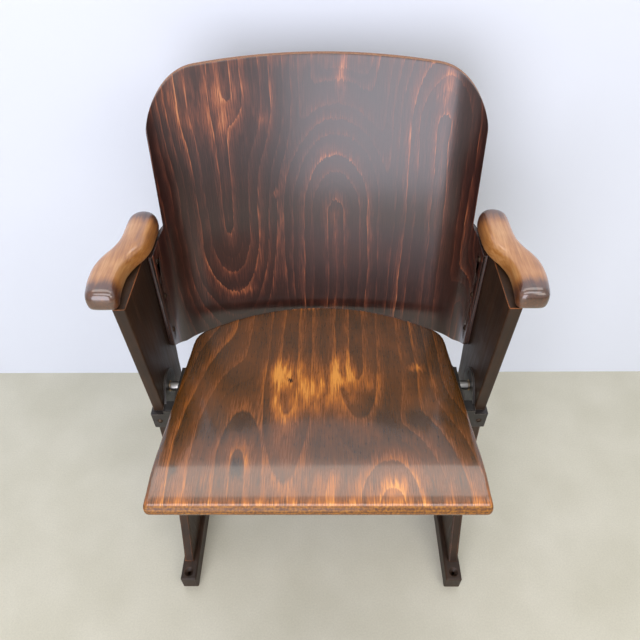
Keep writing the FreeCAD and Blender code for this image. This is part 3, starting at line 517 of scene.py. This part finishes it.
def flatten_back(x, y, z):
    """Across and up in millimetres, and depth as a share of the thickness, of a back point."""
    back = y + ORIGIN_Y - BACK_FOOT_Y
    rise = z - BACK_FOOT_Z
    level = back * math.cos(BACK_TILT) - rise * math.sin(BACK_TILT)
    along = back * math.sin(BACK_TILT) + rise * math.cos(BACK_TILT)
    side = -1 if x < 0 else 1
    turned = math.atan2(abs(x), level + BACK_RADIUS)
    arc_end = BACK_ARC * BEND_TURN
    if turned < BEND_TURN:
        across = BACK_ARC * turned
        depth = math.hypot(x, level + BACK_RADIUS) - BACK_ARC
    elif level > BEND_Y:
        bent = math.atan2(abs(x) - BEND_X, level - BEND_Y)
        across = arc_end + BACK_BEND * (bent - BEND_TURN)
        depth = math.hypot(abs(x) - BEND_X, level - BEND_Y) - BACK_BEND
    else:
        across = arc_end + BACK_BEND * (math.pi / 2 - BEND_TURN) + BEND_Y - level
        depth = abs(x) - BEND_X - BACK_BEND
    depth = min(max(depth / BACK_T, 0.0), 1.0)
    return side * across, along + (REAR_SKIN_SHIFT if depth > 0.5 else 0.0), depth


back_panel = copy_of("backrest_shell", "back_panel")
for vertex in back_panel.data.vertices:
    off_y = vertex.co.y / MM + ORIGIN_Y - EAR_CORNER[0]
    off_z = vertex.co.z / MM - EAR_CORNER[1]
    if math.hypot(off_y, off_z) < EAR_FILLET_REACH:
        vertex.co.y += (EAR_ROUNDER - 1) * off_y * MM
        vertex.co.z += (EAR_ROUNDER - 1) * off_z * MM
modify(back_panel, "BEVEL", width=RIM_ROUND * MM, segments=3, limit_method="ANGLE",
       angle_limit=RIM_ANGLE, use_clamp_overlap=False)
map_sheet(back_panel, flatten_back)
smooth(back_panel, 40)
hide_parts("backrest_shell")
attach(back_panel, "frame")
print("back panel:", len(back_panel.data.polygons), "faces")

# %% [markdown]
# ## The moulded seat
#
# The seat's sheet rolls over in front. Years of sitting have thinned its nose, so the copy is
# drawn in there: the roll ends a little earlier and the front edge is slimmer. Its sides are a
# little fuller. The copy is first given small even faces, so that it bends without creases and
# its rim is softened, which the long thin faces of a CAD mesh would not allow.

# %% Moulded seat
SEAT_T = 16.0
SEAT_CREST = (25.6, 433.0)
SEAT_SLOPE = math.radians(3.44)
SEAT_ROLL = 290.0
ROLL_END_Y = -51.9
WORN_ROLL_END_Y = -45.2
WEAR_START_Y = -20.0
UNWORN_Y = 40.0
NOSE_SHARE = 0.875
SIDE_FULLNESS = 2.6
NOSE_FULLNESS = 0.4
FULL_WIDTH_Y = 10.0
FULLER_FROM_X, FULLER_TO_X = 60.0, 200.0
SEAT_VOXEL_MM = 2.4
SEAT_SMOOTHING = 5


def seat_top(y):
    """Height of the seat's top surface."""
    if y > SEAT_CREST[0]:
        return SEAT_CREST[1] - (y - SEAT_CREST[0]) * math.tan(SEAT_SLOPE)
    centre_y = SEAT_CREST[0] - SEAT_ROLL * math.sin(SEAT_SLOPE)
    centre_z = SEAT_CREST[1] - SEAT_ROLL * math.cos(SEAT_SLOPE)
    return centre_z + math.sqrt(SEAT_ROLL ** 2 - (y - centre_y) ** 2)


def ease(value, start, end):
    """Rises from 0 at the start to 1 at the end, softly at both."""
    share = min(max((value - start) / (end - start), 0.0), 1.0)
    return share * share * (3 - 2 * share)


def worn_share(y):
    """Share of the sheet's thickness that wear has left."""
    return NOSE_SHARE + (1 - NOSE_SHARE) * ease(y, WEAR_START_Y, UNWORN_Y)


def worn_seat(x, y, z):
    """Where a point of the new seat lies on the worn one, in drawn millimetres."""
    side = -1 if x < 0 else 1
    along = NOSE_FULLNESS + (1 - NOSE_FULLNESS) * ease(y, ROLL_END_Y, FULL_WIDTH_Y)
    fuller = SIDE_FULLNESS * along * ease(abs(x), FULLER_FROM_X, FULLER_TO_X)
    if y < ROLL_END_Y:
        new_y = WORN_ROLL_END_Y + NOSE_SHARE * (y - ROLL_END_Y)
        new_z = seat_top(WORN_ROLL_END_Y) + NOSE_SHARE * (z - seat_top(ROLL_END_Y))
        return x + side * fuller, new_y, new_z
    new_y = y
    if y < WEAR_START_Y:
        new_y = WEAR_START_Y + (y - WEAR_START_Y) * (
            WORN_ROLL_END_Y - WEAR_START_Y) / (ROLL_END_Y - WEAR_START_Y)
    return x + side * fuller, new_y, seat_top(new_y) - worn_share(y) * (seat_top(y) - z)


def flatten_seat(x, y, z):
    """Across and along in millimetres, and depth as a share of the thickness, of a seat point."""
    drawn_y = y + ORIGIN_Y
    depth = (seat_top(max(drawn_y, WORN_ROLL_END_Y)) - z) / (SEAT_T * worn_share(drawn_y))
    depth = min(max(depth, 0.0), 1.0)
    around = drawn_y
    if drawn_y < WORN_ROLL_END_Y:
        around -= max(0.0, seat_top(WORN_ROLL_END_Y) - z)
    return x, around + (REAR_SKIN_SHIFT if depth > 0.5 else 0.0), depth


seat_panel = copy_of("seat_shell", "seat_panel")
modify(seat_panel, "REMESH", mode="VOXEL", voxel_size=SEAT_VOXEL_MM * MM)
modify(seat_panel, "SMOOTH", factor=0.5, iterations=SEAT_SMOOTHING)
for vertex in seat_panel.data.vertices:
    x, y, z = vertex.co / MM
    x, y, z = worn_seat(x, y + ORIGIN_Y, z)
    vertex.co = Vector((x, y - ORIGIN_Y, z)) * MM
map_sheet(seat_panel, flatten_seat)
smooth(seat_panel, 60)
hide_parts("seat_shell")
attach(seat_panel, "seat")
print("seat panel:", len(seat_panel.data.polygons), "faces")

# %% [markdown]
# ## The armrests
#
# Each armrest is a solid S shaped rail, rounded over by hand until no sharp edge is left. The
# copy of the CAD solid is drawn to the real rail's length, remeshed into small even faces and
# relaxed, which rounds its edges and its nose as sanding does. The other armrest is its mirror
# image.

# %% Armrests
RAIL_VOXEL_MM = 1.9
RAIL_SMOOTHING = 70
RAIL_STOPS = ((112.0, 112.0), (165.0, 161.0), (250.0, 241.0), (306.0, 296.0))


def rail_y(y):
    """Moves a point along the rail, from the stops drawn in the CAD to those of the real rail."""
    for (old_a, new_a), (old_b, new_b) in zip(RAIL_STOPS, RAIL_STOPS[1:]):
        if y <= old_b:
            return new_a + (y - old_a) * (new_b - new_a) / (old_b - old_a)
    return y - old_b + new_b


armrest = copy_of("armrest_right", "arm_rail_right")
for vertex in armrest.data.vertices:
    vertex.co.y = (rail_y(vertex.co.y / MM + ORIGIN_Y) - ORIGIN_Y) * MM
modify(armrest, "REMESH", mode="VOXEL", voxel_size=RAIL_VOXEL_MM * MM)
modify(armrest, "SMOOTH", factor=0.5, iterations=RAIL_SMOOTHING)
smooth(armrest, 60)
rails = {"right": armrest, "left": mirrored(armrest, "arm_rail_left")}
for side in SIDES:
    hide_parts("armrest_" + side)
    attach(rails[side], "frame")
print("arm rail:", len(armrest.data.polygons), "faces")

# %% [markdown]
# ## Stained and varnished veneer
#
# The plywood is beech veneer, stained dark and varnished. Stain hides most of the grain, and wear
# brings it back: orange lines where the ring edges catch light, tan where the varnish has gone.
# Two broad light marks, on the back's upper left and the seat's front, are partly worn wood and
# partly painted sheen. The back and the seat share one recipe, with their own groups of arches,
# colours and gloss. On the edges of the sheet the depth attribute turns into plies, which have
# soaked up little varnish.

# %% Sheet materials
PLIES = 7
SPECKLE_MM = 3.0
FACE_VENEER = (0.07, 0.13)
LOW_EDGE_DARKNESS = 0.6
EDGE_ROUGHNESS = 0.62
EDGE_VARNISH = 0.3
FULLY_LIGHT = 0.8
FIBRE_HEIGHT_MM = 0.4


def sheet_material(name, groups, marks, look, stops, ply_stops, **constants):
    """Varnished veneer on a moulded sheet, with the plies on its edges."""
    material, shader = new_material(name, **constants)
    node, link = partial(add_node, material), material.node_tree.links.new
    flat = node("UVMap", uv_map="sheet").outputs["UV"]
    light, fibre = veneer(material, flat, groups, marks, look)
    skin = node("ValToRGB", (light,), tinted(stops)).outputs["Color"]

    # Plies and their speckle, darker on low edges, such as the ears', below a set height
    depth = node("Attribute", attribute_name="sheet_depth", attribute_type="GEOMETRY")
    depth = depth.outputs["Fac"]
    ply = node("Math", (depth, PLIES), operation="MULTIPLY").outputs[0]
    ply = node("Math", (ply, 1.0), operation="PINGPONG").outputs[0]
    place = node("TexCoord").outputs["Object"]
    speckle = node("TexNoise", sized(place, SPECKLE_MM, 2)).outputs["Fac"]
    speckle = node("Math", (speckle, look["speckle_gain"]), operation="MULTIPLY").outputs[0]
    ply = node("Math", (ply, look["ply_gain"], speckle), operation="MULTIPLY_ADD").outputs[0]
    height = node("SeparateXYZ", (place,)).outputs["Z"]
    heights = (look["dark_below_m"], look["light_above_m"])
    darker_low = node("MapRange", between(height, heights, (LOW_EDGE_DARKNESS, 0.0)))
    ply = node("Math", (ply, darker_low.outputs["Result"]), operation="SUBTRACT").outputs[0]
    edge = node("ValToRGB", (ply,), tinted(ply_stops)).outputs["Color"]

    # How far a point lies inside the sheet, past the face veneers
    inside = node("Math", (depth, 0.5), operation="SUBTRACT").outputs[0]
    inside = node("Math", (inside,), operation="ABSOLUTE").outputs[0]
    inside = node("Math", (0.5, inside), operation="SUBTRACT").outputs[0]
    inside = node("MapRange", between(inside, FACE_VENEER)).outputs["Result"]

    both = node("Mix", {"Factor": inside, "A": skin, "B": edge}, data_type="RGBA")
    link(both.outputs["Result"], shader.inputs["Base Color"])
    roughs = (look["rough_dark"], look["rough_light"])
    rough = node("MapRange", between(light, (0.0, FULLY_LIGHT), roughs)).outputs["Result"]
    rough = node("Mix", {"Factor": inside, "A": rough, "B": EDGE_ROUGHNESS})
    link(rough.outputs["Result"], shader.inputs["Roughness"])
    varnish = constants["Coat_Weight"]
    coat = node("Mix", {"Factor": inside, "A": varnish, "B": varnish * EDGE_VARNISH})
    link(coat.outputs["Result"], shader.inputs["Coat Weight"])
    bump = node("Bump", {
        "Height": fibre, "Strength": look["bump"], "Distance": FIBRE_HEIGHT_MM * MM})
    link(bump.outputs["Normal"], shader.inputs["Normal"])
    return material


# Each group of arches is a centre, steepness, direction and innermost size. Each mark is a middle,
# half sizes and gain. All are in millimetres across and along the unrolled sheet.
BACK_GROUPS = [
    ((-128, 345), 0.5, -1, 0), ((-141, 150), 0.36, -1, 14), ((28, 154), 0.55, 1, 9),
    ((252, 18), 0.75, 1, 8), ((186, 296), 0.5, 1, 12)]
# The first mark, broad on the upper left, is partly worn light wood and partly painted sheen
BACK_MARKS = [
    (-160, 330, 120, 90, 0.3), (31, 362, 16, 46, 0.5), (181, 352, 22, 40, 0.45),
    (-78, 300, 20, 18, 0.25), (-130, 300, 40, 26, 0.2), (-130, 20, 40, 14, 0.3),
    (-150, 60, 18, 22, 0.22), (-66, 190, 9, 12, 0.35), (30, -28, 40, 12, 0.25),
    (0, 385, 300, 18, 0.2)]
BACK_LOOK = {
    "sway_mm": 85, "sway_reach_mm": 24, "rag_reach_mm": 13, "merge_mm": 26, "ring_mm": 13,
    "band_mm": 34, "ring_crowding": 2.4, "patch_mm": 110, "patch_gain": 0.3, "fibre_gain": 0.4,
    "band_gain": 0.4, "line_gain": 0.78, "pore_gain": 0.12, "base": 0.15, "rough_dark": 0.29,
    "rough_light": 0.38, "bump": 0.35, "ply_gain": 0.55, "speckle_gain": 0.6,
    "dark_below_m": 0.64, "light_above_m": 0.74}
BACK_STOPS = [
    (0.0, "#1c0d0a"), (0.25, "#341b16"), (0.5, "#5c3123"), (0.75, "#935233"), (1.0, "#c07e52")]
BACK_EDGE_STOPS = [(0.0, "#1c0f0b"), (0.3, "#5a3623"), (0.6, "#8a5a3a"), (0.95, "#c09062")]

# Dark stain under satin varnish: deep red brown, with a broad soft sheen
back_veneer = sheet_material(
    "stained_beech_veneer_back", BACK_GROUPS, BACK_MARKS, BACK_LOOK, BACK_STOPS, BACK_EDGE_STOPS,
    Coat_Weight=0.7, Coat_Roughness=0.2, Specular_IOR_Level=0.5)
back_panel.data.materials.append(back_veneer)

SEAT_GROUPS = [
    ((98, -62), 0.55, 1, 0), ((-108, 3), 0.34, 1, 10), ((-46, 150), 0.2, -1, 8),
    ((60, 190), 0.3, -1, 10)]
# The broad mark at the seat's front, (0, -34, 600, 80, 0.16), is partly worn wood and partly
# painted sheen
SEAT_MARKS = [
    (-5, 140, 95, 85, 0.5), (-54, 170, 26, 46, 0.75), (38, 176, 26, 54, 0.75),
    (-44, 157, 7, 6, -1.0), (-58, 100, 14, 40, 0.3), (88, 150, 24, 34, 0.26),
    (150, 180, 20, 12, 0.4), (172, 147, 8, 26, 0.25), (-110, 66, 80, 40, -0.18),
    (120, 78, 90, 34, -0.16), (-108, 2, 13, 22, -0.4), (-194, -1, 9, 16, -0.3),
    (0, -54, 700, 18, 0.34), (0, -34, 600, 80, 0.16), (-30, 330, 60, 14, 0.5),
    (100, -24, 26, 18, 0.2)]
SEAT_LOOK = {
    "sway_mm": 90, "sway_reach_mm": 18, "rag_reach_mm": 11, "merge_mm": 18, "ring_mm": 19,
    "band_mm": 50, "ring_crowding": 1.5, "patch_mm": 75, "patch_gain": 0.35, "fibre_gain": 0.32,
    "band_gain": 0.3, "line_gain": 0.48, "pore_gain": 0.14, "base": 0.27, "rough_dark": 0.22,
    "rough_light": 0.32, "bump": 0.25, "ply_gain": 0.2, "speckle_gain": 0.95,
    "dark_below_m": 0.0, "light_above_m": 0.1}
SEAT_STOPS = [
    (0.0, "#281808"), (0.25, "#4c3012"), (0.5, "#80491a"), (0.75, "#bb6e24"), (1.0, "#e49a40")]
SEAT_EDGE_STOPS = [(0.2, "#261302"), (0.5, "#6a3c06"), (0.85, "#ab7012")]

# The same stain under glossy varnish, polished and worn by sitters: golden, with a sharper sheen
seat_veneer = sheet_material(
    "stained_beech_veneer_seat", SEAT_GROUPS, SEAT_MARKS, SEAT_LOOK, SEAT_STOPS, SEAT_EDGE_STOPS,
    Coat_Weight=1.0, Coat_Roughness=0.1, Specular_IOR_Level=0.5)
seat_panel.data.materials.append(seat_veneer)
print("sheets:", back_veneer.name, seat_veneer.name)

# %% [markdown]
# ## Solid beech, stained
#
# The boards, runners and armrests are solid beech under the same dark stain. The grain runs along
# each piece, so the fibre noise is stretched along that direction. Where hands and shoes rub, on
# the edges, the stain is gone: a Bevel node compares the surface with a rounded copy of itself,
# which finds the edges, and a noise breaks the worn line up.

# %% Solid wood materials
WOOD_FIBRE_MM, WOOD_BAND_MM, WOOD_CLOUD_MM = 2.4, 11, 60
WOOD_FIBRE_GAIN, WOOD_BAND_GAIN, WOOD_CLOUD_GAIN, WOOD_DARKENING = 0.42, 0.34, 0.5, 0.3
EDGE_FOUND = (0.995, 0.86)
EDGE_BROKEN = (0.36, 0.6)
GLOSS_FIBRE = (0.3, 0.7)
GLOSS_SPREAD = 0.14
BEVEL_SAMPLES = 6
# Where along the rail a forearm rests, in metres from the frame's middle
RUBBED_FRONT = (-0.058, -0.028)
RUBBED_REAR = (0.108, 0.07)
RUBBED_GAIN, UNRUBBED = 0.4, -0.16


def bare_edges(material, edge_mm, found, wear):
    """How bare wear has left the edges: 0 away from them, and up to the wear on them."""
    node = partial(add_node, material)
    rounded = node("Bevel", {"Radius": edge_mm * MM}, samples=BEVEL_SAMPLES).outputs["Normal"]
    sharp = node("NewGeometry").outputs["Normal"]
    turned = node("VectorMath", (rounded, sharp), operation="DOT_PRODUCT").outputs["Value"]
    return node("MapRange", between(turned, found, (0.0, wear))).outputs["Result"]


def solid_wood(name, squeeze, stops, worn, edge_mm, wear, zone=None, gloss=0.3, **constants):
    """Stained solid wood. Squeeze is the fibre noise's scale per axis, small along the grain."""
    material, shader = new_material(name, **constants)
    node, link = partial(add_node, material), material.node_tree.links.new
    place = node("TexCoord").outputs["Object"]
    drawn_out = node("Mapping", {"Vector": place, "Scale": squeeze}).outputs["Vector"]
    fibre = node("TexNoise", sized(drawn_out, WOOD_FIBRE_MM, 4)).outputs["Fac"]
    bands = node("TexNoise", sized(drawn_out, WOOD_BAND_MM, 2)).outputs["Fac"]
    cloud = node("TexNoise", sized(place, WOOD_CLOUD_MM, 3)).outputs["Fac"]
    light = node("Math", (fibre, WOOD_FIBRE_GAIN), operation="MULTIPLY").outputs[0]
    for value, gain in ((bands, WOOD_BAND_GAIN), (cloud, WOOD_CLOUD_GAIN)):
        light = node("Math", (value, gain, light), operation="MULTIPLY_ADD").outputs[0]
    light = node("Math", (light, WOOD_DARKENING), operation="SUBTRACT").outputs[0]
    if zone:
        light = node("Math", (light, zone(material, place)), operation="ADD").outputs[0]
    stained = node("ValToRGB", (light,), tinted(stops)).outputs["Color"]
    rubbed = bare_edges(material, edge_mm, EDGE_FOUND, wear)
    broken = node("MapRange", between(cloud, EDGE_BROKEN)).outputs["Result"]
    rubbed = node("Math", (rubbed, broken), operation="MULTIPLY", use_clamp=True).outputs[0]
    both = node("Mix", {"Factor": rubbed, "A": stained, "B": colour(worn)}, data_type="RGBA")
    link(both.outputs["Result"], shader.inputs["Base Color"])
    rough = node("MapRange", between(fibre, GLOSS_FIBRE, (gloss, gloss + GLOSS_SPREAD)))
    link(rough.outputs["Result"], shader.inputs["Roughness"])
    bump = node("Bump", {"Height": fibre, "Strength": 0.3, "Distance": FIBRE_HEIGHT_MM * MM})
    link(bump.outputs["Normal"], shader.inputs["Normal"])
    return material


def rubbed_by_arms(material, place):
    """Lighter where a forearm rests: the middle of the rail, seen from above."""
    node = partial(add_node, material)
    along = node("SeparateXYZ", (place,)).outputs["Y"]
    front, rear = [
        node("MapRange", between(along, ends), interpolation_type="SMOOTHSTEP").outputs["Result"]
        for ends in (RUBBED_FRONT, RUBBED_REAR)]
    middle = node("Math", (front, rear), operation="MULTIPLY").outputs[0]
    return node("Math", (middle, RUBBED_GAIN, UNRUBBED), operation="MULTIPLY_ADD").outputs[0]


BOARD_STOPS = [(0.0, "#150c06"), (0.3, "#281a0f"), (0.6, "#432c1a"), (1.0, "#7c5534")]
ARM_STOPS = [(0.0, "#2a150b"), (0.28, "#5c341a"), (0.55, "#ab7036"), (1.0, "#eab878")]
RAW_STOPS = [(0.0, "#a07a4e"), (1.0, "#d8b488")]

# Dark stain under thin old varnish: nearly black, dull, with edges rubbed to bare wood
board_wood = solid_wood(
    "stained_beech_board", (1, 0.5, 0.05), BOARD_STOPS, "#a8663a", 2.4, 1.0,
    gloss=0.42, Specular_IOR_Level=0.35)
# The same, with the grain along the floor and scuffed by shoes
runner_wood = solid_wood(
    "stained_beech_runner", (1, 0.05, 1), BOARD_STOPS, "#8a5a3a", 2.0, 0.8,
    gloss=0.42, Specular_IOR_Level=0.35)
# Stain rubbed off by forearms under thick glossy varnish: golden, with dark ends and bright glints
arm_wood = solid_wood(
    "stained_beech_armrest", (1, 0.06, 1), ARM_STOPS, "#8a5526", 1.0, 0.0, rubbed_by_arms,
    Coat_Weight=1.0, Coat_Roughness=0.1, Coat_IOR=1.7)
# Dowels of bare beech: pale and dull
raw_wood = solid_wood("raw_beech_dowel", (0.05, 1, 1), RAW_STOPS, "#d8b488", 0.5, 0.0)
print("woods:", board_wood.name, runner_wood.name, arm_wood.name, raw_wood.name)

# %% [markdown]
# ## Metals and rubber
#
# The brackets are cast iron under black paint that has worn thin on its edges, the arms below the
# seat are bare grey iron, the pins and screws are steel, and the bushes are brass. Each gets a
# fine noise in its roughness and colour at the scale of a casting's or a tool's marks.

# %% Metals and rubber
TARNISH_MM = 18
TARNISH_GAIN, GRAIN_GAIN, GRAIN_BASE = 0.8, 0.5, -0.15
TONES = (0.2, 0.8)
METAL_EDGE_MM = 0.8
METAL_EDGE_FOUND = (0.99, 0.85)
GRAIN_HEIGHT_MM = 0.3


def hard_material(name, dark, light, grain_mm, rough, bump, edge=None, wear=0.0, **constants):
    """A metal, paint or rubber: two tones mixed by a noise, with matching roughness and bump."""
    material, shader = new_material(name, **constants)
    node, link = partial(add_node, material), material.node_tree.links.new
    place = node("TexCoord").outputs["Object"]
    grain = node("TexNoise", sized(place, grain_mm, 5)).outputs["Fac"]
    tarnish = node("TexNoise", sized(place, TARNISH_MM, 3)).outputs["Fac"]
    tone = node("Math", (grain, GRAIN_GAIN, GRAIN_BASE), operation="MULTIPLY_ADD").outputs[0]
    tone = node("Math", (tarnish, TARNISH_GAIN, tone), operation="MULTIPLY_ADD").outputs[0]
    tones = tinted([(TONES[0], dark), (TONES[1], light)])
    body = node("ValToRGB", (tone,), tones).outputs["Color"]
    if edge:
        bare = bare_edges(material, METAL_EDGE_MM, METAL_EDGE_FOUND, wear)
        body = node("Mix", {"Factor": bare, "A": body, "B": colour(edge)},
                    data_type="RGBA").outputs["Result"]
    link(body, shader.inputs["Base Color"])
    roughness = node("MapRange", between(tone, TONES, rough)).outputs["Result"]
    link(roughness, shader.inputs["Roughness"])
    lifted = node("Bump", {
        "Height": grain, "Strength": bump, "Distance": GRAIN_HEIGHT_MM * MM})
    link(lifted.outputs["Normal"], shader.inputs["Normal"])
    return material


# Black paint on a rough casting: satin, worn to grey metal on its edges
painted_iron = hard_material(
    "painted_cast_iron", "#120f0e", "#2a2422", 1.6, (0.34, 0.5), 0.5, "#8d8478", 0.7)
# Bare cast iron: a dull grey skin with a sandy grain
grey_iron = hard_material(
    "grey_cast_iron", "#3a3835", "#5c5955", 1.4, (0.45, 0.62), 0.6, Metallic=0.85)
# Turned steel: bright, with fine tool marks that blur what it mirrors
turned_steel = hard_material(
    "turned_steel", "#8b8a86", "#b9b7b2", 0.8, (0.26, 0.42), 0.15, Metallic=1.0)
# Brass rubbed by a turning pin: warm and half bright
bush_brass = hard_material(
    "bush_brass", "#8a6a34", "#b8924e", 0.8, (0.3, 0.45), 0.15, Metallic=1.0)
# Old steel screws: browned, with a weak glint
screw_steel = hard_material(
    "browned_screw_steel", "#2e2620", "#5a4a3c", 0.8, (0.35, 0.5), 0.2, Metallic=0.9)
# Moulded rubber: black and quite dull
rubber = hard_material("buffer_rubber", "#161514", "#262422", 1.2, (0.7, 0.85), 0.4)
print("hard materials:", painted_iron.name, grey_iron.name, turned_steel.name, bush_brass.name,
      screw_steel.name, rubber.name)

# %% [markdown]
# ## Which finish goes where
#
# Every CAD node keeps its shape and gets a material. Its name starts with what the piece is, such
# as foot_screws or hinge_bracket, so the longest start that matches chooses the finish. The new
# pieces get theirs too.

# %% Materials on the pieces
FINISHES = {
    "side_board": board_wood, "foot_runner": runner_wood, "armrest_dowels": raw_wood,
    "hinge_bracket": painted_iron, "hinge_bracket_screws": screw_steel,
    "backrest_screws": screw_steel, "foot_screws": screw_steel, "seat_arm_screws": screw_steel,
    "seat_arm": grey_iron, "pivot_pin": turned_steel, "pivot_bush": bush_brass,
    "stop_buffer": rubber, "armrest": arm_wood, "backrest_shell": back_veneer,
    "seat_shell": seat_veneer}
for rail in rails.values():
    rail.data.materials.append(arm_wood)
for name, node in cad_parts.items():
    stem = max((start for start in FINISHES if name.startswith(start)), key=len)
    node.data.materials.clear()
    node.data.materials.append(FINISHES[stem])
print("dressed:", len(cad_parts), "nodes and", len(rails), "rails")
